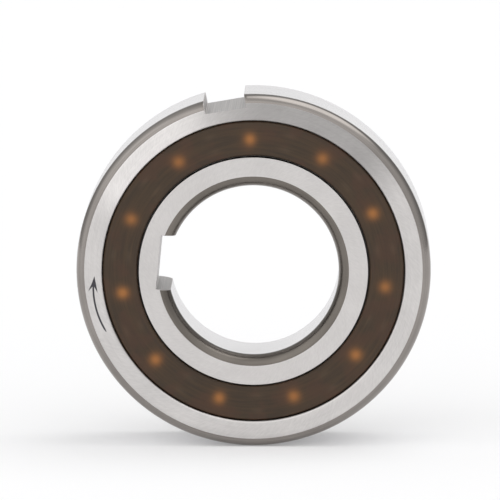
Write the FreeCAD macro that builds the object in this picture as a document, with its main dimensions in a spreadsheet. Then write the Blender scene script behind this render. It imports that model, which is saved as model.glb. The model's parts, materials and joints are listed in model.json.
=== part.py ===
import FreeCAD, Part
import math
import os
import Sketcher

# One-way clutch ball bearing: a 62-series ball bearing with sprags between its balls.
# Millimetres. The shaft axis is Y, the front face looks along -Y, Z is up, and the origin is the
# middle of the bearing. Angles are degrees, counter-clockwise as seen from the front, from +X.

doc = FreeCAD.newDocument("SpragClutchBearing")

# Driving dimensions
DIMENSIONS = {
    # rings, from the shaft outwards
    "bore_diameter": 25.0,
    "inner_ring_wall": 3.765,  # bore to the bottom of the inner ball groove
    "ball_diameter": 6.35,
    "ball_play": 0.01,  # ball to the bottom of either groove
    "outer_ring_wall": 3.365,  # bottom of the outer ball groove to the outside
    "ring_width": 15.0,
    "groove_depth": 1.035,  # sprag track to the bottom of a groove
    "groove_relief": 0.127,  # groove radius over ball radius
    "inner_seat_step": 0.5,  # sprag track down to the seat of the cage flank
    "outer_seat_step": 0.6,
    # chamfers and keyways of the rings
    "outer_chamfer_radial": 1.26,
    "outer_chamfer_axial": 1.7,
    "bore_chamfer_radial": 1.48,
    "bore_chamfer_axial": 1.9,
    "inner_keyway_width": 8.0,
    "inner_keyway_depth": 1.5,
    "inner_keyway_angle": 174.65,
    "outer_keyway_width": 6.0,
    "outer_keyway_depth": 2.0,
    "outer_keyway_angle": 99.73,
    # cage
    "ball_count": 11,
    "ball_phase": 25.99,  # angle of the first ball
    "pocket_clearance": 0.1,
    "pocket_lip": 0.4,  # how far each lip of a pocket's mouth closes over the ball
    "cage_track_gap": 0.2,
    "flank_edge_gap": 0.3,
    "flank_floor_gap": 0.2,
    "flank_thickness": 1.1,
    "flank_recess": 0.3,
    "flank_bevel": 0.3,
    # sprags and their springs
    "sprag_thickness": 2.5,
    "sprag_side_room": 0.3,
    "sprag_end_room": 0.5,
    "cam_radius": 2.4,
    "strut_offset": 0.24,  # sideways distance between the two cam centres
    "sprag_gap": 0.015,  # sprag to either track when the clutch is locked
    "sprag_lean": 4.0,  # lean at rest, from the locked attitude
    "waist_depth": 0.45,
    "waist_share": 0.8,  # length of the waist over the distance between the shoulders
    "spring_thickness": 0.15,
    "spring_length": 9.0,
    "spring_half_span": 0.75,
    "spring_shift": 0.15,
    "spring_gap": 0.15,
    "spring_seat_gap": 0.02,
}

sheet = doc.addObject("Spreadsheet::Sheet", "Dimensions")
for row, (alias, size) in enumerate(DIMENSIONS.items(), start=1):
    sheet.set(f"A{row}", alias)
    sheet.set(f"B{row}", str(size))
    sheet.setAlias(f"B{row}", alias)
doc.recompute()

# Sizes worked out from the driving ones, in the order in which they depend on each other
RELATIONS = {
    "half_width": "Dimensions.ring_width / 2",
    "bore_radius": "Dimensions.bore_diameter / 2",
    "ball_radius": "Dimensions.ball_diameter / 2",
    "inner_groove_floor": "Derived.bore_radius + Dimensions.inner_ring_wall",
    "pitch_radius": "Derived.inner_groove_floor + Dimensions.ball_play + Derived.ball_radius",
    "outer_groove_floor": "Derived.pitch_radius + Derived.ball_radius + Dimensions.ball_play",
    "outer_radius": "Derived.outer_groove_floor + Dimensions.outer_ring_wall",
    "groove_radius": "Derived.ball_radius + Dimensions.groove_relief",
    "groove_half": "sqrt(Derived.groove_radius ^ 2"
    " - (Derived.groove_radius - Dimensions.groove_depth) ^ 2)",
    "inner_track": "Derived.inner_groove_floor + Dimensions.groove_depth",
    "outer_track": "Derived.outer_groove_floor - Dimensions.groove_depth",
    "inner_seat": "Derived.inner_track - Dimensions.inner_seat_step",
    "outer_seat": "Derived.outer_track + Dimensions.outer_seat_step",
    "flank_front": "Derived.half_width - Dimensions.flank_recess",
    "flank_back": "Derived.flank_front - Dimensions.flank_thickness",
    "track_half": "Derived.flank_back - Dimensions.flank_floor_gap",
    "cage_inner": "Derived.inner_track + Dimensions.cage_track_gap",
    "cage_outer": "Derived.outer_track - Dimensions.cage_track_gap",
    "flank_inner": "Derived.inner_seat + Dimensions.flank_edge_gap",
    "flank_outer": "Derived.outer_seat - Dimensions.flank_edge_gap",
    "pocket_radius": "Derived.ball_radius + Dimensions.pocket_clearance",
    "mouth_half": "Derived.ball_radius - Dimensions.pocket_lip",
    "slot_half": "Dimensions.sprag_thickness / 2 + Dimensions.sprag_side_room",
    "sprag_circle": "(Derived.inner_track + Derived.outer_track) / 2",
    "sprag_length": "2 * (Derived.flank_back - Dimensions.sprag_end_room)",
    "sprag_half": "Dimensions.sprag_thickness / 2",
    "cam_lift": "(Derived.outer_track - Derived.inner_track) / 2 - Dimensions.sprag_gap"
    " - Dimensions.cam_radius",
    "near_shoulder": "Derived.cam_lift + sqrt(Dimensions.cam_radius ^ 2"
    " - (Derived.sprag_half - Dimensions.strut_offset / 2) ^ 2)",
    "far_shoulder": "Derived.cam_lift + sqrt(Dimensions.cam_radius ^ 2"
    " - (Derived.sprag_half + Dimensions.strut_offset / 2) ^ 2)",
    "waist_reach": "Dimensions.waist_share * Derived.far_shoulder",
    "waist_radius": "(Derived.waist_reach ^ 2 + Dimensions.waist_depth ^ 2)"
    " / (2 * Dimensions.waist_depth)",
    "spring_seat": "Derived.slot_half - Dimensions.spring_seat_gap",
    "spring_bow": "Derived.spring_seat"
    " - (Derived.sprag_half - Dimensions.waist_depth + Dimensions.spring_gap)",
    "spring_radius": "(Dimensions.spring_half_span ^ 2 + Derived.spring_bow ^ 2)"
    " / (2 * Derived.spring_bow)",
    "spring_inner_radius": "Derived.spring_radius - Dimensions.spring_thickness",
    "spring_inner_span": "sqrt(Derived.spring_inner_radius ^ 2"
    " - (Derived.spring_radius - Derived.spring_bow) ^ 2)",
}

derived = doc.addObject("App::VarSet", "Derived")
for name, formula in RELATIONS.items():
    derived.addProperty("App::PropertyFloat", name, "Sizes", "")
    derived.setExpression(name, formula)
    doc.recompute()


def value(formula):
    """The number that a formula of the sheet's sizes comes to."""
    return float(derived.evalExpression(formula))


def origin_feature(body, role):
    """A plane or axis of a body's own origin."""
    return next(part for part in body.Origin.OriginFeatures if part.Role == role)


def new_body(label):
    body = doc.addObject("PartDesign::Body", label)
    body.Label = label
    return body


def new_sketch(body, name, plane):
    sketch = body.newObject("Sketcher::SketchObject", name)
    sketch.AttachmentSupport = [(origin_feature(body, plane), "")]
    sketch.MapMode = "FlatFace"
    return sketch


def fix_point(sketch, side, end, corner):
    """Ties one end of a side to a corner, given as two formulas."""
    for kind, axis, formula in zip(("DistanceX", "DistanceY"), (-2, -1), corner):
        size = value(formula)
        if abs(size) < 1e-9:
            sketch.addConstraint(Sketcher.Constraint("PointOnObject", side, end, axis))
        elif size > 0:
            index = sketch.addConstraint(Sketcher.Constraint(kind, -1, 1, side, end, size))
            sketch.setExpression(f"Constraints[{index}]", formula)
        else:
            index = sketch.addConstraint(Sketcher.Constraint(kind, side, end, -1, 1, -size))
            sketch.setExpression(f"Constraints[{index}]", f"-({formula})")


def arc_through(start, finish, radius, bulge):
    """Arc between two points. Bulge is 1 where it swells to the left of the way there, else -1."""
    chord = finish - start
    sagitta = radius - math.sqrt(radius**2 - chord.Length**2 / 4)
    left = FreeCAD.Vector(-chord.y, chord.x, 0).normalize()
    return Part.Arc(start, (start + finish) / 2 + left * (bulge * sagitta), finish)


def draw_outline(sketch, corners, arcs=None):
    """Closed outline through corners. Arcs gives the radius and bulge of the sides that are round."""
    arcs = arcs or {}
    points = [FreeCAD.Vector(value(x), value(y), 0) for x, y in corners]
    ends = []
    for side, start in enumerate(points):
        finish = points[(side + 1) % len(points)]
        if side in arcs:
            radius, bulge = arcs[side]
            sketch.addGeometry(arc_through(start, finish, value(radius), bulge), False)
            forward = sketch.getPoint(side, 1).distanceToPoint(start) < 1e-6
            ends.append((1, 2) if forward else (2, 1))
        else:
            sketch.addGeometry(Part.LineSegment(start, finish), False)
            ends.append((1, 2))
    for side, (first, last) in enumerate(ends):
        following = (side + 1) % len(points)
        sketch.addConstraint(Sketcher.Constraint("Coincident", side, last, following, ends[following][0]))
        fix_point(sketch, side, first, corners[side])
    for side, (radius, bulge) in arcs.items():
        index = sketch.addConstraint(Sketcher.Constraint("Radius", side, value(radius)))
        sketch.setExpression(f"Constraints[{index}]", radius)


def revolve(body, sketch, name):
    """Turns a half section, drawn with radius along X, about the shaft axis."""
    solid = body.newObject("PartDesign::Revolution", name)
    solid.Profile = sketch
    solid.ReferenceAxis = (origin_feature(body, "Y_Axis"), [""])
    solid.Angle = 360
    return solid


def cut_volume(body, before, what):
    """Stops where a cut took nothing away, and gives the volume that is left."""
    doc.recompute()
    after = body.Shape.Volume
    if not after < before - 1e-3:
        raise RuntimeError(f"{what} of {body.Label} cuts nothing")
    return after


def turn_to(item, formula):
    """Turns a sub-part about the shaft axis, counter-clockwise as seen from the front."""
    item.Placement = FreeCAD.Placement(FreeCAD.Vector(), FreeCAD.Rotation(FreeCAD.Vector(0, -1, 0), 1))
    item.setExpression("Placement.Rotation.Angle", formula)


def cut_keyway(body, low, high, half):
    """Cuts a keyway right through a ring, at its own +X, between two radii."""
    sketch = new_sketch(body, body.Label + "_keyway_sketch", "XZ_Plane")
    corners = [(low, f"-({half})"), (high, f"-({half})"), (high, half), (low, half)]
    draw_outline(sketch, corners)
    doc.recompute()
    before = body.Shape.Volume
    keyway = body.newObject("PartDesign::Pocket", body.Label + "_keyway")
    keyway.Profile = sketch
    keyway.Type = "ThroughAll"
    keyway.Midplane = True
    cut_volume(body, before, "the keyway")


# Outer ring, with its ball groove between the two sprag tracks
def make_outer_ring():
    ring = new_body("outer_ring")
    section = new_sketch(ring, "outer_ring_section", "XY_Plane")
    face_edge = "Derived.outer_radius - Dimensions.outer_chamfer_radial"
    side = "Derived.half_width - Dimensions.outer_chamfer_axial"
    corners = [
        ("Derived.outer_radius", f"-({side})"),
        ("Derived.outer_radius", side),
        (face_edge, "Derived.half_width"),
        ("Derived.outer_seat", "Derived.half_width"),
        ("Derived.outer_seat", "Derived.track_half"),
        ("Derived.outer_track", "Derived.track_half"),
        ("Derived.outer_track", "Derived.groove_half"),
        ("Derived.outer_track", "-Derived.groove_half"),
        ("Derived.outer_track", "-Derived.track_half"),
        ("Derived.outer_seat", "-Derived.track_half"),
        ("Derived.outer_seat", "-Derived.half_width"),
        (face_edge, "-Derived.half_width"),
    ]
    groove_side = 6
    draw_outline(section, corners, {groove_side: ("Derived.groove_radius", 1)})
    revolve(ring, section, "outer_ring_turned")
    cut_keyway(
        ring,
        "Derived.outer_radius - Dimensions.outer_keyway_depth",
        "Derived.outer_radius + Dimensions.outer_keyway_depth",
        "Dimensions.outer_keyway_width / 2",
    )
    turn_to(ring, "Dimensions.outer_keyway_angle")
    return ring


# Inner ring, which carries the shaft
def make_inner_ring():
    ring = new_body("inner_ring")
    section = new_sketch(ring, "inner_ring_section", "XY_Plane")
    face_edge = "Derived.bore_radius + Dimensions.bore_chamfer_radial"
    side = "Derived.half_width - Dimensions.bore_chamfer_axial"
    corners = [
        ("Derived.bore_radius", side),
        ("Derived.bore_radius", f"-({side})"),
        (face_edge, "-Derived.half_width"),
        ("Derived.inner_seat", "-Derived.half_width"),
        ("Derived.inner_seat", "-Derived.track_half"),
        ("Derived.inner_track", "-Derived.track_half"),
        ("Derived.inner_track", "-Derived.groove_half"),
        ("Derived.inner_track", "Derived.groove_half"),
        ("Derived.inner_track", "Derived.track_half"),
        ("Derived.inner_seat", "Derived.track_half"),
        ("Derived.inner_seat", "Derived.half_width"),
        (face_edge, "Derived.half_width"),
    ]
    groove_side = 6
    draw_outline(section, corners, {groove_side: ("Derived.groove_radius", 1)})
    revolve(ring, section, "inner_ring_turned")
    cut_keyway(
        ring,
        "Derived.bore_radius - Dimensions.inner_keyway_depth",
        "Derived.bore_radius + Dimensions.inner_keyway_depth",
        "Dimensions.inner_keyway_width / 2",
    )
    turn_to(ring, "Dimensions.inner_keyway_angle")
    return ring


def flank_corners(side):
    """Section of a cage flank with bevelled edges, on the rear side (1) or the front side (-1)."""
    sign = "" if side > 0 else "-"
    edge = f"{sign}(Derived.flank_front - Dimensions.flank_bevel)"
    return [
        ("Derived.flank_outer", f"{sign}Derived.flank_back"),
        ("Derived.flank_outer", edge),
        ("Derived.flank_outer - Dimensions.flank_bevel", f"{sign}Derived.flank_front"),
        ("Derived.flank_inner + Dimensions.flank_bevel", f"{sign}Derived.flank_front"),
        ("Derived.flank_inner", edge),
        ("Derived.flank_inner", f"{sign}Derived.flank_back"),
    ]


def repeat_round(body, cut, name):
    """Repeats a cut round the shaft axis, once for each ball."""
    ring = body.newObject("PartDesign::PolarPattern", name)
    ring.Originals = [cut]
    ring.Axis = (origin_feature(body, "Y_Axis"), [""])
    ring.Angle = 360
    ring.setExpression("Occurrences", "Dimensions.ball_count")
    body.Tip = ring
    return ring


# Cage: a comb that is open to the front, with a round pocket for each ball and a slot for each sprag
def make_cage_body():
    cage = new_body("cage_body")
    section = new_sketch(cage, "cage_section", "XY_Plane")
    comb = [
        ("Derived.cage_inner", "Derived.flank_back"),
        ("Derived.cage_inner", "-Derived.flank_back"),
        ("Derived.cage_outer", "-Derived.flank_back"),
        ("Derived.cage_outer", "Derived.flank_back"),
    ]
    draw_outline(section, comb + flank_corners(1))
    revolve(cage, section, "cage_turned")
    doc.recompute()
    volume = cage.Shape.Volume

    pocket = cage.newObject("PartDesign::SubtractiveCylinder", "ball_pocket")
    pocket.AttachmentSupport = [(origin_feature(cage, "YZ_Plane"), "")]
    pocket.MapMode = "FlatFace"
    pocket.setExpression("Radius", "Derived.pocket_radius")
    pocket.setExpression("Height", "Derived.cage_outer + Dimensions.cage_track_gap")
    volume = cut_volume(cage, volume, "the ball pocket")
    repeat_round(cage, pocket, "ball_pockets")
    volume = cut_volume(cage, volume, "the ring of ball pockets")

    low = "Derived.cage_inner - Dimensions.cage_track_gap"
    high = "Derived.cage_outer + Dimensions.cage_track_gap"
    mouth_sketch = new_sketch(cage, "pocket_mouth_sketch", "XZ_Plane")
    half = "Derived.mouth_half"
    draw_outline(mouth_sketch, [(low, f"-{half}"), (high, f"-{half}"), (high, half), (low, half)])
    mouth = cage.newObject("PartDesign::Pocket", "pocket_mouth")
    mouth.Profile = mouth_sketch
    mouth.Type = "Length"
    mouth.Reversed = True
    mouth.setExpression("Length", "Derived.flank_back")
    volume = cut_volume(cage, volume, "the pocket mouth")
    repeat_round(cage, mouth, "pocket_mouths")
    volume = cut_volume(cage, volume, "the ring of pocket mouths")

    slot_sketch = new_sketch(cage, "sprag_slot_sketch", "XZ_Plane")
    slot_sketch.AttachmentOffset = FreeCAD.Placement(
        FreeCAD.Vector(), FreeCAD.Rotation(FreeCAD.Vector(0, 0, 1), 1)
    )
    slot_sketch.setExpression("AttachmentOffset.Rotation.Angle", "180 / Dimensions.ball_count")
    half = "Derived.slot_half"
    draw_outline(slot_sketch, [(low, f"-{half}"), (high, f"-{half}"), (high, half), (low, half)])
    slot = cage.newObject("PartDesign::Pocket", "sprag_slot")
    slot.Profile = slot_sketch
    slot.Type = "Length"
    slot.Midplane = True
    slot.setExpression("Length", "2 * Derived.flank_back")
    volume = cut_volume(cage, volume, "the sprag slot")
    repeat_round(cage, slot, "sprag_slots")
    cut_volume(cage, volume, "the ring of sprag slots")
    turn_to(cage, "Dimensions.ball_phase")
    return cage


# Front flank, fixed to the front of the comb once the balls, sprags and springs are in
def make_cage_cover():
    cover = new_body("cage_cover")
    section = new_sketch(cover, "cover_section", "XY_Plane")
    draw_outline(section, flank_corners(-1))
    revolve(cover, section, "cover_turned")
    turn_to(cover, "Dimensions.ball_phase")
    return cover


def place_round(item, radius, angle, turn):
    """Puts a sub-part on a circle round the shaft axis at an angle, turned to another angle."""
    turn_to(item, turn)
    item.setExpression("Placement.Base.x", f"{radius} * cos({angle})")
    item.setExpression("Placement.Base.z", f"{radius} * sin({angle})")


def make_ball(number):
    ball = doc.addObject("Part::Sphere", f"ball_{number:02d}")
    ball.Label = f"ball_{number:02d}"
    ball.setExpression("Radius", "Derived.ball_radius")
    angle = f"(Dimensions.ball_phase + {number - 1} * 360 / Dimensions.ball_count)"
    place_round(ball, "Derived.pitch_radius", angle, angle)
    return ball


# Sprag: two cams back to back on a waist. The line between its two contacts leans clockwise, so
# an outer ring that turns clockwise lays the sprag down, and one that turns back stands it up
def make_sprag(number):
    sprag = new_body(f"sprag_{number:02d}")
    section = new_sketch(sprag, f"sprag_section_{number:02d}", "XZ_Plane")
    half = "Derived.sprag_half"
    waist = "Derived.waist_reach"
    near = "Derived.near_shoulder"
    far = "Derived.far_shoulder"
    corners = [
        (near, f"-{half}"),
        (far, half),
        (waist, half),
        (f"-{waist}", half),
        (f"-{near}", half),
        (f"-{far}", f"-{half}"),
        (f"-{waist}", f"-{half}"),
        (waist, f"-{half}"),
    ]
    round_sides = {
        0: ("Dimensions.cam_radius", -1),
        2: ("Derived.waist_radius", 1),
        4: ("Dimensions.cam_radius", -1),
        6: ("Derived.waist_radius", 1),
    }
    draw_outline(section, corners, round_sides)
    blank = sprag.newObject("PartDesign::Pad", f"sprag_blank_{number:02d}")
    blank.Profile = section
    blank.Midplane = True
    blank.setExpression("Length", "Derived.sprag_length")
    angle = f"(Dimensions.ball_phase + {2 * number - 1} * 180 / Dimensions.ball_count)"
    place_round(sprag, "Derived.sprag_circle", angle, f"{angle} - Dimensions.sprag_lean")
    return sprag


# Leaf spring: a bowed strip between the slot's wall and the sprag, just outside its waist
def make_sprag_spring(number):
    spring = new_body(f"sprag_spring_{number:02d}")
    section = new_sketch(spring, f"spring_section_{number:02d}", "XZ_Plane")
    middle = "Derived.sprag_circle + Dimensions.spring_shift"
    seat = "-Derived.spring_seat"
    corners = [
        (f"{middle} - Dimensions.spring_half_span", seat),
        (f"{middle} - Derived.spring_inner_span", seat),
        (f"{middle} + Derived.spring_inner_span", seat),
        (f"{middle} + Dimensions.spring_half_span", seat),
    ]
    round_sides = {
        1: ("Derived.spring_inner_radius", 1),
        3: ("Derived.spring_radius", -1),
    }
    draw_outline(section, corners, round_sides)
    leaf = spring.newObject("PartDesign::Pad", f"spring_leaf_{number:02d}")
    leaf.Profile = section
    leaf.Midplane = True
    leaf.setExpression("Length", "Dimensions.spring_length")
    turn_to(spring, f"Dimensions.ball_phase + {2 * number - 1} * 180 / Dimensions.ball_count")
    return spring


sub_parts = [make_outer_ring(), make_inner_ring(), make_cage_body(), make_cage_cover()]
for place in range(1, int(DIMENSIONS["ball_count"]) + 1):
    sub_parts.append(make_ball(place))
    sub_parts.append(make_sprag(place))
    sub_parts.append(make_sprag_spring(place))
doc.recompute()

for item in doc.Objects:
    if "Invalid" in item.State or "Error" in item.State:
        raise RuntimeError(f"{item.Label} could not be worked out: {item.State}")
for item in sub_parts:
    if item.Shape.isNull() or not item.Shape.isValid():
        raise RuntimeError(f"{item.Label} has no valid shape")

os.makedirs("parts", exist_ok=True)
for item in sub_parts:
    item.Shape.exportStep(f"parts/{item.Label}.step")
    print(item.Label, round(item.Shape.Volume, 3), len(item.Shape.Solids))
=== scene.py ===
import json
import math

import bmesh
import bpy
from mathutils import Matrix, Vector


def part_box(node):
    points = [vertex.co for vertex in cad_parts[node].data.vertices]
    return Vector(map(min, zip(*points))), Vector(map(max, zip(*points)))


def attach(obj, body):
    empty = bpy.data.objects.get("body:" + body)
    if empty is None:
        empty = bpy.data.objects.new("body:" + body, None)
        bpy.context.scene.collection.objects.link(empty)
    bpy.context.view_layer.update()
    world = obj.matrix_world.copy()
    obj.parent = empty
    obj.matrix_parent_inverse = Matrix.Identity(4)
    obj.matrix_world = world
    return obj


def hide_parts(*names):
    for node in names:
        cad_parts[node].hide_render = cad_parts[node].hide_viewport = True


# Looks of a one-way clutch ball bearing, made round its CAD frame. Sizes are in millimetres where
# nothing else is said, and angles in degrees, counter-clockwise as seen from the front, from +X.
MM = 0.001
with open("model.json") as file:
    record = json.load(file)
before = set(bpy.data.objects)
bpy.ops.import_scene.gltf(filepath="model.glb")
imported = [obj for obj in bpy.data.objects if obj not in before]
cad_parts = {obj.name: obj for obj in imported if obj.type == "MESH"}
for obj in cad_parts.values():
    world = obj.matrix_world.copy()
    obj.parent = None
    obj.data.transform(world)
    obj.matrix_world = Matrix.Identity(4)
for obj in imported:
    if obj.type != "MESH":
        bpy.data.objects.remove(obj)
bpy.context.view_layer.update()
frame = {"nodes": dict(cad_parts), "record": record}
mounts = {mount["name"]: mount["dims"] for mount in frame["record"]["mounts"] if mount["dims"]}

RIM_RADIUS = mounts["housing_seat"]["r_mm"]
BORE_RADIUS = mounts["shaft_bore"]["r_mm"]
HALF_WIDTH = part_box("outer_ring")[1].y / MM
RIM_HALF = mounts["housing_seat"]["length_mm"] / 2
BORE_HALF = mounts["shaft_bore"]["length_mm"] / 2
RIM_CORNER = 1.26  # how far the rounded corners reach in from the rim and the bore
BORE_CORNER = 1.56
INNER_SEAT, INNER_TRACK = 16.8, 17.3
OUTER_TRACK, OUTER_SEAT = 21.6, 22.2
TRACK_HALF = 5.9
GROOVE_RADIUS = 3.302
GROOVE_DEPTH = 1.035
EDGE_BREAK = 0.06  # bevel of each machined edge
EDGE_ANGLE = 12  # edges that turn by more than this are broken
SEAT_MOUTH = 0.34  # rounding where the outer ring's face drops to the cage seat
FLANK_EDGE = 0.2  # bevel of the cage cover
INNER_GAP, OUTER_GAP = 0.25, 0.12  # cage cover to either ring
BALL_COUNT = 11
BALL_PHASE = 25.99
PITCH_RADIUS = 19.45
SPRAG_GLINT_RADII = (18.4, 20.7)  # radii of the faint painted glints of a sprag's two ends, seen through the flank
OUTER_KEYWAY = {"angle": 99.73, "half": 3.0, "floor": 24.0}
INNER_KEYWAY = {"angle": 174.65, "half": 4.0, "floor": 14.0}

# How finely the meshes are divided, round the axis and along each curve
COLUMNS = 360
CORNER_STEPS, MOUTH_STEPS, GROOVE_STEPS, KEYWAY_STEPS, ARROW_STEPS = 12, 8, 8, 8, 16

# Order of the finishes in each ring's material slots
GROUND, CORNER, HONED, MILLED, SHADED = range(5)


# Camera
def make_camera():
    distance = 1.03793  # metres
    azimuth, elevation = math.radians(0.93), math.radians(7.63)
    yaw, pitch = math.radians(-0.9645), math.radians(7.5105)
    camera = bpy.data.objects.new("camera", bpy.data.cameras.new("camera"))
    camera.location = (
        distance * math.sin(azimuth) * math.cos(elevation),
        -distance * math.cos(azimuth) * math.cos(elevation),
        distance * math.sin(elevation),
    )
    forward = Vector((math.sin(yaw) * math.cos(pitch), math.cos(yaw) * math.cos(pitch), -math.sin(pitch)))
    camera.rotation_euler = forward.to_track_quat("-Z", "Y").to_euler()
    camera.data.lens = 506.5
    camera.data.clip_end = 20
    bpy.context.scene.collection.objects.link(camera)
    bpy.context.scene.camera = camera


class Graph:
    """A node tree, with a call for each kind of node that the looks need."""

    def __init__(self, owner):
        owner.use_nodes = True
        self.tree = owner.node_tree

    def node(self, kind, inputs=None, **settings):
        item = self.tree.nodes.new(kind)
        for name, setting in settings.items():
            setattr(item, name, setting)
        for name, source in (inputs or {}).items():
            self.feed(item.inputs[name], source)
        return item

    def feed(self, socket, source):
        if isinstance(source, bpy.types.NodeSocket):
            self.tree.links.new(source, socket)
        else:
            socket.default_value = source

    def wire(self, shader, **sources):
        """Feeds a shader's sockets, which are named here in small letters with underscores."""
        for name, source in sources.items():
            socket = name.replace("_", " ").title().replace("Ior", "IOR")
            self.feed(shader.inputs[socket], source)

    def math(self, operation, *values):
        return self.node("ShaderNodeMath", dict(enumerate(values)), operation=operation).outputs[0]

    def blend(self, one, other, share):
        """This share of one value, and the rest of the other."""
        return self.math("ADD", self.math("MULTIPLY", one, share), self.math("MULTIPLY", other, 1 - share))

    def vector(self, x, y, z):
        return self.node("ShaderNodeCombineXYZ", {0: x, 1: y, 2: z}).outputs[0]

    def noise(self, vector, detail=2.0):
        return self.node("ShaderNodeTexNoise", {"Vector": vector, "Scale": 1.0, "Detail": detail}).outputs[0]

    def mix(self, share, low, high):
        """The colour at this share of the way from one to the other."""
        return self.node("ShaderNodeMix", {0: share, 6: low, 7: high}, data_type="RGBA").outputs[2]

    def dim(self, colour, share):
        """A colour times this share."""
        inputs = {0: 1.0, 6: colour, 7: share}
        return self.node("ShaderNodeMix", inputs, data_type="RGBA", blend_type="MULTIPLY").outputs[2]

    def spread(self, value, low, high, to_low=0.0, to_high=1.0):
        """A value that runs smoothly between two ends as another runs from low to high."""
        ends = {"Value": value, "From Min": low, "From Max": high, "To Min": to_low, "To Max": to_high}
        return self.node("ShaderNodeMapRange", ends, interpolation_type="SMOOTHSTEP").outputs[0]

    def follow(self, marks, to_low=0.0, to_high=1.0):
        """A value that follows marks over the range that noise mostly keeps to."""
        return self.spread(marks, 0.3, 0.7, to_low, to_high)

    def bump(self, height, strength, distance):
        inputs = {"Strength": strength, "Distance": distance * MM, "Height": height}
        return self.node("ShaderNodeBump", inputs).outputs[0]

    def rays(self):
        """Two values, 0 or 1: for rays from the camera, straight or through glass, and for glossy rays."""
        kinds = self.node("ShaderNodeLightPath").outputs
        through = self.math("MAXIMUM", kinds["Is Camera Ray"], kinds["Is Transmission Ray"])
        return through, kinds["Is Glossy Ray"]

    def place(self):
        """The object's own x, y and z in millimetres."""
        spot = self.node("ShaderNodeTexCoord").outputs["Object"]
        split = self.node("ShaderNodeSeparateXYZ", {0: spot})
        return [self.math("MULTIPLY", axis, 1 / MM) for axis in split.outputs]

    def polar(self):
        """Radius from the shaft axis, and the direction out from it as x and z."""
        x, _, z = self.place()
        radius = self.math("SQRT", self.math("ADD", self.math("MULTIPLY", x, x), self.math("MULTIPLY", z, z)))
        return radius, self.math("DIVIDE", x, radius), self.math("DIVIDE", z, radius)

    def angle(self):
        """Angle round the shaft axis, in radians."""
        _, out_x, out_z = self.polar()
        return self.math("ARCTAN2", out_z, out_x)

    def turn_from(self, degrees, repeats=1):
        """Angle round the axis to the nearest of so many evenly spaced directions, in radians."""
        half = math.pi / repeats
        offset = self.math("SUBTRACT", self.angle(), math.radians(degrees))
        return self.math("ABSOLUTE", self.math("WRAP", offset, half, -half))

    def spot(self, degrees, radius, wide, repeats=1, tall=None):
        """A soft round or oval spot at an angle and a radius, 1 at its middle, repeated round the axis."""
        sideways = self.math("MULTIPLY", self.turn_from(degrees, repeats), radius / wide)
        outward = self.math("DIVIDE", self.math("SUBTRACT", self.polar()[0], radius), tall or wide)
        squares = [self.math("MULTIPLY", offset, offset) for offset in (sideways, outward)]
        return self.math("EXPONENT", self.math("MULTIPLY", self.math("ADD", *squares), -1.0))

    def grain(self, across, along=None):
        """Patches of noise, so many to a millimetre across the shaft and along it."""
        counts = (across, along or across, across)
        axes = [self.math("MULTIPLY", axis, count) for axis, count in zip(self.place(), counts)]
        return self.noise(self.vector(*axes), 3.0)

    def turning_marks(self, across, along, detail=2.0):
        """Streaks that run round the shaft axis, so many across a millimetre and along a radian."""
        axial_pace = 1.37  # how much faster the streaks change along the shaft than out from it
        radius, out_x, out_z = self.polar()
        y = self.place()[1]
        lane = self.math("MULTIPLY", self.math("ADD", radius, self.math("MULTIPLY", y, axial_pace)), across)
        runs = [self.math("MULTIPLY", way, along) for way in (out_x, out_z)]
        return self.noise(self.vector(runs[0], lane, runs[1]), detail)

    def crossing_marks(self, across, along, lean):
        """Strokes that cross a ring's face at a slant, so many across a millimetre and along a radian."""
        radius = self.polar()[0]
        turn = self.math("ADD", self.angle(), self.math("MULTIPLY", radius, lean))
        ways = [self.math("MULTIPLY", self.math(wave, turn), along) for wave in ("COSINE", "SINE")]
        return self.noise(self.vector(ways[0], self.math("MULTIPLY", radius, across), ways[1]), 4.0)


def new_material(name, **settings):
    """A material, its graph, and its shader with these sockets set."""
    material = bpy.data.materials.new(name)
    graph = Graph(material)
    shader = graph.tree.nodes["Principled BSDF"]
    graph.wire(shader, **settings)
    return material, graph, shader


WHITE = (1, 1, 1, 1)
NEUTRAL, COOL = (1.0, 0.965, 0.945), (1.0, 0.985, 0.995)
WARM, TAN = (1.0, 0.92, 0.86), (1.0, 0.90, 0.80)


def grey(level, tint=NEUTRAL):
    return [level * share for share in tint] + [1.0]


# Ground, turned and honed steel: marks run round the axis, and a share of them cross the faces.
# A zone is (angle, reach either way, level), a stretch of the ring's face painted brighter or darker: a
# painted highlight or painted shade that stands in for the reflection the face shows there.
def turned_steel(
    name, *, dark, light, roughness, across, along, depth, anisotropy, tint=NEUTRAL, crossed=0.0, painted_light=()
):
    material, graph, shader = new_material(
        name, metallic=1.0, anisotropic=anisotropy, anisotropic_rotation=0.25
    )
    fine = graph.turning_marks(across, along)
    broad = graph.turning_marks(across / 5, along / 2, detail=3.0)
    marks = graph.blend(fine, broad, share=0.6)
    if crossed:
        strokes = graph.crossing_marks(across=1.6, along=80.0, lean=0.05)
        marks = graph.node("ShaderNodeMix", {0: crossed, 2: marks, 3: strokes}).outputs[0]
    cloud = graph.grain(0.16)
    tone = graph.blend(marks, cloud, share=0.7)
    colour = graph.mix(graph.follow(tone), grey(dark, tint), grey(light, tint))
    # Each zone scales the colour by its level: above 1 it is a painted highlight, below 1 painted shade.
    for angle, reach, level in painted_light:
        away = graph.turn_from(angle)
        colour = graph.dim(colour, graph.spread(away, math.radians(reach * 0.4), math.radians(reach), level))
    graph.wire(
        shader,
        base_color=colour,
        roughness=graph.follow(marks, roughness * 0.85, roughness * 1.15),
        normal=graph.bump(marks, strength=0.5, distance=depth),
        tangent=graph.node("ShaderNodeTangent", direction_type="RADIAL", axis="Y").outputs[0],
    )
    return material


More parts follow.
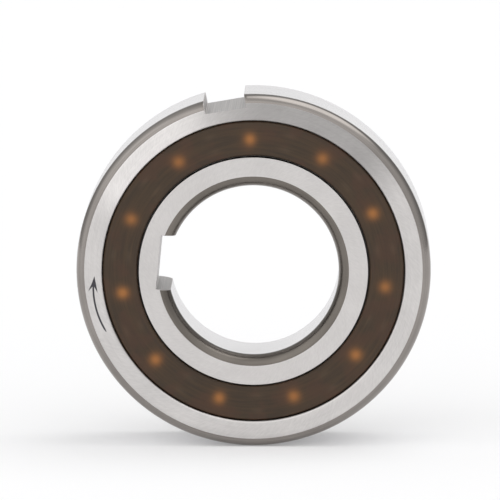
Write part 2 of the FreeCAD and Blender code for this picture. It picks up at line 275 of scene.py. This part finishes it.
# Milled steel of the keyways: marks run along the shaft
def milled_steel(name):
    material, graph, shader = new_material(name, metallic=1.0)
    marks = graph.grain(across=7.0, along=0.03)
    graph.wire(
        shader,
        base_color=graph.mix(graph.follow(marks), grey(0.38), grey(0.60)),
        roughness=graph.follow(marks, 0.36, 0.5),
        normal=graph.bump(marks, strength=0.6, distance=0.05),
    )
    return material


# Translucent brown polymer of the cage, with painted highlights: an amber one in front of each ball,
# for the ball's highlight seen through the polymer, and faint glints at the two ends of each sprag, which
# lies halfway between two balls
def cage_polymer(name):
    dark_brown, light_brown = (0.038, 0.023, 0.012, 1), (0.056, 0.033, 0.016, 1)
    stain, pale, highlight_amber = (0.068, 0.030, 0.016, 1), (0.20, 0.13, 0.08, 1), (0.34, 0.133, 0.033, 1)
    halo_radius, core_radius = 2.0, 0.85
    end_width, end_height = 0.95, 0.4
    glint_share, core_share = 0.10, 0.94
    patches_per_radian = 4.0
    material, graph, shader = new_material(name, specular_ior_level=0.35)
    marks = graph.turning_marks(across=3.0, along=3.0, detail=3.0)
    stains = graph.grain(0.32)
    brown = graph.mix(graph.follow(marks), dark_brown, light_brown)
    plain = graph.mix(graph.spread(stains, 0.45, 0.65, to_high=0.5), brown, stain)
    sprag_phase = BALL_PHASE + 180 / BALL_COUNT
    # Painted glints: faint pale spots at the two ends of each sprag, seen through the polymer.
    ends = [graph.spot(sprag_phase, radius, end_width, BALL_COUNT, end_height) for radius in SPRAG_GLINT_RADII]
    with_sprag_glints = graph.mix(graph.math("MULTIPLY", graph.math("ADD", *ends), glint_share), plain, pale)
    # Painted highlight: an amber spot in front of each ball, brighter in some patches than in others.
    halo, core = [
        graph.spot(BALL_PHASE, PITCH_RADIUS, radius, BALL_COUNT) for radius in (halo_radius, core_radius)
    ]
    _, out_x, out_z = graph.polar()
    ways = [graph.math("MULTIPLY", way, patches_per_radian) for way in (out_x, out_z)]
    patch = graph.noise(graph.vector(ways[0], 0.0, ways[1]))
    glow = graph.blend(core, halo, core_share)
    share = graph.math("MULTIPLY", glow, graph.follow(patch, 0.75, 1.1))
    graph.wire(
        shader,
        base_color=graph.mix(share, with_sprag_glints, highlight_amber),
        roughness=graph.follow(marks, 0.34, 0.48),
        normal=graph.bump(marks, strength=0.25, distance=0.02),
    )
    return material


# Polished steel of the parts inside
def polished_steel(name, level, roughness, patches):
    material, graph, shader = new_material(name, metallic=1.0)
    marks = graph.grain(patches)
    graph.wire(
        shader,
        base_color=graph.mix(marks, grey(level * 0.9), grey(level)),
        roughness=graph.follow(marks, roughness, roughness * 1.6),
    )
    return material


# Dark mark that a laser leaves on steel
def laser_mark(name):
    dark, light = (0.030, 0.028, 0.034, 1), (0.075, 0.070, 0.080, 1)
    material, graph, shader = new_material(name, specular_ior_level=0.3)
    marks = graph.grain(8.0)
    graph.wire(shader, base_color=graph.mix(marks, dark, light), roughness=graph.follow(marks, 0.55, 0.7))
    return material


# Light: a pale tent, duller on the right and, above the horizon, toward the back. It grows
# brighter higher up, is dimmed near the top, and has a softbox above and a little behind the
# object. The camera sees white all round, and glossy rays see it low down behind the object.
def make_light():
    softbox_way, softbox_strength = (0.34, 0.17, 0.925), 1.6
    world = bpy.data.worlds.new("studio")
    bpy.context.scene.world = world
    graph = Graph(world)
    way = graph.node("ShaderNodeTexCoord").outputs["Generated"]
    x, y, z = graph.node("ShaderNodeSeparateXYZ", {0: way}).outputs
    sides = graph.spread(x, -0.4, 0.95, 1.06, 0.75)
    dusk = graph.math("MULTIPLY", graph.spread(y, -0.4, 0.75), graph.spread(z, -0.3, 0.0, 0.0, 0.6))
    dulled = graph.math("MULTIPLY", sides, graph.math("SUBTRACT", 1.0, dusk))
    lifted = graph.math("MULTIPLY", dulled, graph.spread(z, 0.1, 0.7, 1.0, 1.28))
    canopy = graph.math("MULTIPLY", lifted, graph.spread(z, 0.75, 0.95, 1.0, 0.72))
    aim = graph.node("ShaderNodeVectorMath", {0: way, 1: softbox_way}, operation="DOT_PRODUCT")
    softbox = graph.spread(aim.outputs["Value"], 0.85, 0.98, 0.0, softbox_strength)
    tent = graph.node("ShaderNodeBackground", {0: WHITE, 1: graph.math("ADD", canopy, softbox)})
    white = graph.node("ShaderNodeBackground", {0: WHITE, 1: 1.0})
    behind = graph.math("MULTIPLY", graph.spread(y, 0.84, 0.97), graph.spread(z, 0.2, 0.45, 1.0, 0.0))
    through, glossy = graph.rays()
    seen = graph.math("MAXIMUM", through, graph.math("MULTIPLY", glossy, behind))
    both = graph.node("ShaderNodeMixShader", {0: seen, 1: tent.outputs[0], 2: white.outputs[0]})
    graph.feed(graph.tree.nodes["World Output"].inputs["Surface"], both.outputs[0])


def new_object(bm, name, materials):
    """Puts a finished mesh in the scene."""
    mesh = bpy.data.meshes.new(name)
    bm.to_mesh(mesh)
    bm.free()
    for material in materials:
        mesh.materials.append(material)
    item = bpy.data.objects.new(name, mesh)
    bpy.context.scene.collection.objects.link(item)
    return item


# Floor: plain and pale, and a little lighter in the rays that show it, to meet the white behind
def make_floor():
    paint, lift = (0.79, 0.79, 0.795, 1), 0.165
    radius = 4.0  # metres
    material = bpy.data.materials.new("white_floor")
    graph = Graph(material)
    graph.tree.nodes.remove(graph.tree.nodes["Principled BSDF"])
    matt = graph.node("ShaderNodeBsdfDiffuse", {"Color": paint})
    seen = graph.math("MAXIMUM", *graph.rays())
    glow = graph.node("ShaderNodeEmission", {"Strength": graph.math("MULTIPLY", seen, lift)})
    both = graph.node("ShaderNodeAddShader", {0: matt.outputs[0], 1: glow.outputs[0]})
    graph.feed(graph.tree.nodes["Material Output"].inputs["Surface"], both.outputs[0])
    bm = bmesh.new()
    bmesh.ops.create_circle(bm, cap_ends=True, segments=96, radius=radius)
    floor = new_object(bm, "floor", [material])
    floor.location.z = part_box("outer_ring")[0].z


# Sections: closed lists of (radius, y, finish of the side that starts there)
def arc(start, end, radius, bulge, steps):
    """Points of an arc between two points, without the last. Bulge is 1 to the left, else -1."""
    (r0, y0), (r1, y1) = start, end
    chord = math.hypot(r1 - r0, y1 - y0)
    rise = math.sqrt(radius**2 - chord**2 / 4)
    left = (-(y1 - y0) / chord, (r1 - r0) / chord)
    centre = ((r0 + r1) / 2 - bulge * rise * left[0], (y0 + y1) / 2 - bulge * rise * left[1])
    first = math.atan2(y0 - centre[1], r0 - centre[0])
    sweep = -bulge * 2 * math.asin(chord / 2 / radius)
    turns = [first + sweep * step / steps for step in range(steps)]
    return [(centre[0] + radius * math.cos(turn), centre[1] + radius * math.sin(turn)) for turn in turns]


def corner_radius(radial, axial):
    """Radius of a corner that runs smoothly into the rim or bore and meets the face at an edge."""
    return (radial**2 + axial**2) / (2 * radial)


def mirrored(half):
    """Adds the rear half of a section to its front half, whose sides run from y below 0 up to it."""
    rear = []
    for (radius, y, _), (_, _, finish) in zip(reversed(half), reversed(half[:-1])):
        rear.append((radius, -y, finish))
    return half[:-1] + rear


def ring_half(rim, rim_half, corner, seat, track, inward, mouth=0.0):
    """Half of a ring's section, from the middle of its rim round the front face to its groove.
    Inward is the way from the rim to the groove along the radius, 1 or -1."""
    rim_end, face_edge = (rim, -rim_half), (rim + inward * corner, -HALF_WIDTH)
    radius = corner_radius(corner, HALF_WIDTH - rim_half)
    points = [(rim, 0.0, HONED)]
    points += [(r, y, CORNER) for r, y in arc(rim_end, face_edge, radius, -inward, CORNER_STEPS)]
    points.append((*face_edge, GROUND))
    if mouth:
        start, end = (seat - inward * mouth, -HALF_WIDTH), (seat, mouth - HALF_WIDTH)
        points += [(r, y, GROUND) for r, y in arc(start, end, mouth, -inward, MOUTH_STEPS)]
    points.append((seat, mouth - HALF_WIDTH, HONED))
    points.append((seat, -TRACK_HALF, SHADED))
    points.append((track, -TRACK_HALF, HONED))
    groove_half = math.sqrt(GROOVE_RADIUS**2 - (GROOVE_RADIUS - GROOVE_DEPTH) ** 2)
    half_turn = math.asin(groove_half / GROOVE_RADIUS)
    floor = track - inward * GROOVE_DEPTH
    centre = floor + inward * GROOVE_RADIUS
    for step in range(GROOVE_STEPS):
        turn = half_turn * (1 - step / GROOVE_STEPS)
        r = centre - inward * GROOVE_RADIUS * math.cos(turn)
        points.append((r, -GROOVE_RADIUS * math.sin(turn), HONED))
    points.append((floor, 0.0, HONED))
    return points


def open_section(section, reach, outward):
    """A section with points where it meets the corners of a keyway's floor, at this reach from the
    axis. It starts with the stretch that passes behind the keyway, whose number of points follows it."""
    full = []
    for (r0, y0, finish), (r1, y1, _) in zip(section, section[1:] + section[:1]):
        full.append((r0, y0, finish))
        if (r0 - reach) * (r1 - reach) < 0:
            full.append((reach, y0 + (y1 - y0) * (reach - r0) / (r1 - r0), finish))
    meetings = [k for k, (radius, _, _) in enumerate(full) if radius == reach]
    first = next(k for k in meetings if (full[(k + 1) % len(full)][0] < reach) == outward)
    full = full[first:] + full[:first]
    kept = next(k for k in range(1, len(full)) if full[k][0] == reach) + 1
    return full, kept


def turned_mesh(name, section, materials, keyway=None, outward=True):
    """Turns a section about the shaft axis. Where it has a keyway, which opens outward or else to the
    bore, columns of vertices end on its walls."""
    half, floor, angle = (keyway["half"], keyway["floor"], keyway["angle"]) if keyway else (0.0, 0.0, 0.0)
    reach = math.hypot(floor, half)
    full, kept = open_section(section, reach, outward) if keyway else (section, 0)
    bm = bmesh.new()

    def put(radius, y, turn):
        turn += math.radians(angle)
        return bm.verts.new((radius * math.cos(turn) * MM, y * MM, radius * math.sin(turn) * MM))

    def skin(one, other, finishes):
        for k, finish in enumerate(finishes):
            following = (k + 1) % len(one)
            face = bm.faces.new((one[k], one[following], other[following], other[k]))
            face.material_index = finish

    walls = [math.asin(half / radius) for radius, _, _ in full]
    finishes = [finish for _, _, finish in full]
    columns = []
    for k in range(COLUMNS + 1 if keyway else COLUMNS):
        share = k / COLUMNS
        turns = [wall + (2 * math.pi - 2 * wall) * share for wall in walls]
        columns.append([put(radius, y, turn) for (radius, y, _), turn in zip(full, turns)])
    for one, other in zip(columns, columns[1:] if keyway else columns[1:] + columns[:1]):
        skin(one, other, finishes)
    if keyway:
        between = [columns[-1][:kept]]
        for step in range(1, KEYWAY_STEPS):
            share = 2 * step / KEYWAY_STEPS - 1
            column = []
            for (radius, y, _), wall in zip(full[:kept], walls):
                if radius == reach:
                    column.append(put(math.hypot(floor, half * share), y, math.atan2(half * share, floor)))
                else:
                    column.append(put(radius, y, wall * share))
            between.append(column)
        between.append(columns[0][:kept])
        for one, other in zip(between, between[1:]):
            skin(one, other, finishes[: kept - 1] + [MILLED])
        for column in (columns[0], columns[-1]):
            wall_face = bm.faces.new(column[kept - 1 :] + column[:1])
            wall_face.material_index = MILLED

    bmesh.ops.recalc_face_normals(bm, faces=bm.faces)
    sharp = [edge for edge in bm.edges if edge.calc_face_angle(0) > math.radians(EDGE_ANGLE)]
    bmesh.ops.bevel(
        bm, geom=sharp, offset=EDGE_BREAK * MM, segments=2, profile=0.5, affect="EDGES", clamp_overlap=False
    )
    for face in bm.faces:
        face.smooth = True
    piece = new_object(bm, name, materials)
    piece.modifiers.new("even_normals", "WEIGHTED_NORMAL").keep_sharp = True
    return piece


def make_rings(finishes):
    outer = mirrored(ring_half(RIM_RADIUS, RIM_HALF, RIM_CORNER, OUTER_SEAT, OUTER_TRACK, -1, SEAT_MOUTH))
    inner = mirrored(ring_half(BORE_RADIUS, BORE_HALF, BORE_CORNER, INNER_SEAT, INNER_TRACK, 1))
    for name, section, keyway, outward in (
        ("outer_ring", outer, OUTER_KEYWAY, True),
        ("inner_ring", inner, INNER_KEYWAY, False),
    ):
        piece = turned_mesh(name + "_finished", section, finishes[name], keyway, outward)
        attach(piece, name)
        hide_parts(name)


def make_cover(material):
    low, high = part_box("cage_cover")
    front, back = low.y / MM, high.y / MM
    outer, inner = OUTER_SEAT - OUTER_GAP, INNER_SEAT + INNER_GAP
    corners = [
        (outer, back),
        (outer, front + FLANK_EDGE),
        (outer - FLANK_EDGE, front),
        (inner + FLANK_EDGE, front),
        (inner, front + FLANK_EDGE),
        (inner, back),
    ]
    only_finish = 0
    section = [(radius, y, only_finish) for radius, y in corners]
    piece = turned_mesh("cage_cover_finished", section, [material])
    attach(piece, "cage")
    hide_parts("cage_cover")


# Arrow that shows which way the outer ring turns freely, marked on its front face. Its places are
# (radius, angle).
def make_arrow(material):
    tip, notch, tail = (23.32, 181.8), (23.53, 184.5), (23.37, 202.6)
    outer_side = [(23.78, 184.5), (24.40, 187.0)]
    inner_side = [(23.16, 184.5), (23.06, 188.0)]
    bow = 0.27
    half_line, height = 0.13, 0.012
    tail_width, taper_rate = 0.4, 8  # the line ends at this share of its width, and narrows this fast

    def spot(radius, degrees):
        angle = math.radians(degrees)
        return Vector((radius * math.cos(angle), 0, radius * math.sin(angle)))

    middle = []
    for step in range(ARROW_STEPS + 1):
        share = step / ARROW_STEPS
        radius = notch[0] * (1 - share) + tail[0] * share + bow * 4 * share * (1 - share)
        middle.append(spot(radius, notch[1] * (1 - share) + tail[1] * share))
    outer_line, inner_line = [], []
    for step, point in enumerate(middle):
        run = (middle[min(step + 1, ARROW_STEPS)] - middle[max(step - 1, 0)]).normalized()
        taper = min(1.0, taper_rate * (1 - step / ARROW_STEPS) + tail_width)
        aside = Vector((run.z, 0, -run.x)) * half_line * taper
        outward = aside if aside.dot(point) > 0 else -aside
        outer_line.append(point + outward)
        inner_line.append(point - outward)
    head_out = [spot(*place) for place in [tip] + outer_side]
    head_in = [spot(*place) for place in reversed(inner_side)]
    outline = head_out + outer_line[1:] + inner_line[:0:-1] + head_in
    bm = bmesh.new()
    under, over = [
        [bm.verts.new((point.x * MM, (rise - HALF_WIDTH) * MM, point.z * MM)) for point in outline]
        for rise in (height, -height)
    ]
    bm.faces.new(under)
    bm.faces.new(over)
    for k in range(len(outline)):
        following = (k + 1) % len(outline)
        bm.faces.new((under[k], under[following], over[following], over[k]))
    bmesh.ops.recalc_face_normals(bm, faces=bm.faces)
    bmesh.ops.triangulate(bm, faces=[face for face in bm.faces if len(face.verts) > 4])
    piece = new_object(bm, "direction_arrow", [material])
    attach(piece, "outer_ring")


def dress_frame(finishes):
    """Gives each CAD node that stays in view, or inside, its finish."""
    for name, node in frame["nodes"].items():
        kind = name.rstrip("0123456789").rstrip("_")
        node.data.materials.clear()
        node.data.materials.append(finishes[kind])


make_camera()
make_light()
make_floor()

face_marks = {"roughness": 0.34, "across": 6.0, "along": 3.0, "depth": 0.02, "anisotropy": 0.5}
corner_marks = {"across": 4.0, "along": 2.0, "anisotropy": 0.3}
# Painted highlight and painted shade on the outer ring's face: brighter at the upper left, darker at the
# upper right.
painted_face_light = ((68, 46, 0.62), (135, 31, 1.28))
ground = turned_steel("ground_steel", dark=0.57, light=0.67, crossed=0.6, **face_marks)
ground_outer = turned_steel(
    "ground_outer_steel", dark=0.55, light=0.69, crossed=0.5, painted_light=painted_face_light, **face_marks
)
turned = turned_steel(
    "turned_corner_steel", dark=0.24, light=0.33, roughness=0.15, depth=0.02, tint=WARM, **corner_marks
)
bored = turned_steel(
    "turned_bore_steel", dark=0.145, light=0.205, roughness=0.24, depth=0.01, tint=TAN, **corner_marks
)
honed = turned_steel(
    "honed_steel",
    dark=0.72, light=0.84, roughness=0.22, across=8.0, along=3.0, depth=0.01, anisotropy=0.5, tint=COOL,
)
# Painted shade: the cage seat's step, deep in the narrow gap beside the cover, gets steel far darker than the
# rest.
shaded = turned_steel(
    "painted_shade_seat_steel",
    dark=0.10, light=0.16, roughness=0.45, across=4.0, along=2.0, depth=0.02, anisotropy=0.0,
)
milled = milled_steel("milled_keyway_steel")
polymer = cage_polymer("brown_cage_polymer")
dress_frame({
    "outer_ring": ground,
    "inner_ring": ground,
    "cage_body": polymer,
    "cage_cover": polymer,
    "ball": polished_steel("ball_steel", level=0.86, roughness=0.06, patches=0.8),
    "sprag": polished_steel("sprag_steel", level=0.7, roughness=0.22, patches=3.0),
    "sprag_spring": polished_steel("spring_steel", level=0.66, roughness=0.28, patches=6.0),
})
make_rings({
    "outer_ring": [ground_outer, turned, honed, milled, shaded],
    "inner_ring": [ground, bored, honed, milled, shaded],
})
make_cover(polymer)
make_arrow(laser_mark("laser_mark"))

bpy.context.scene.view_settings.view_transform = "Standard"
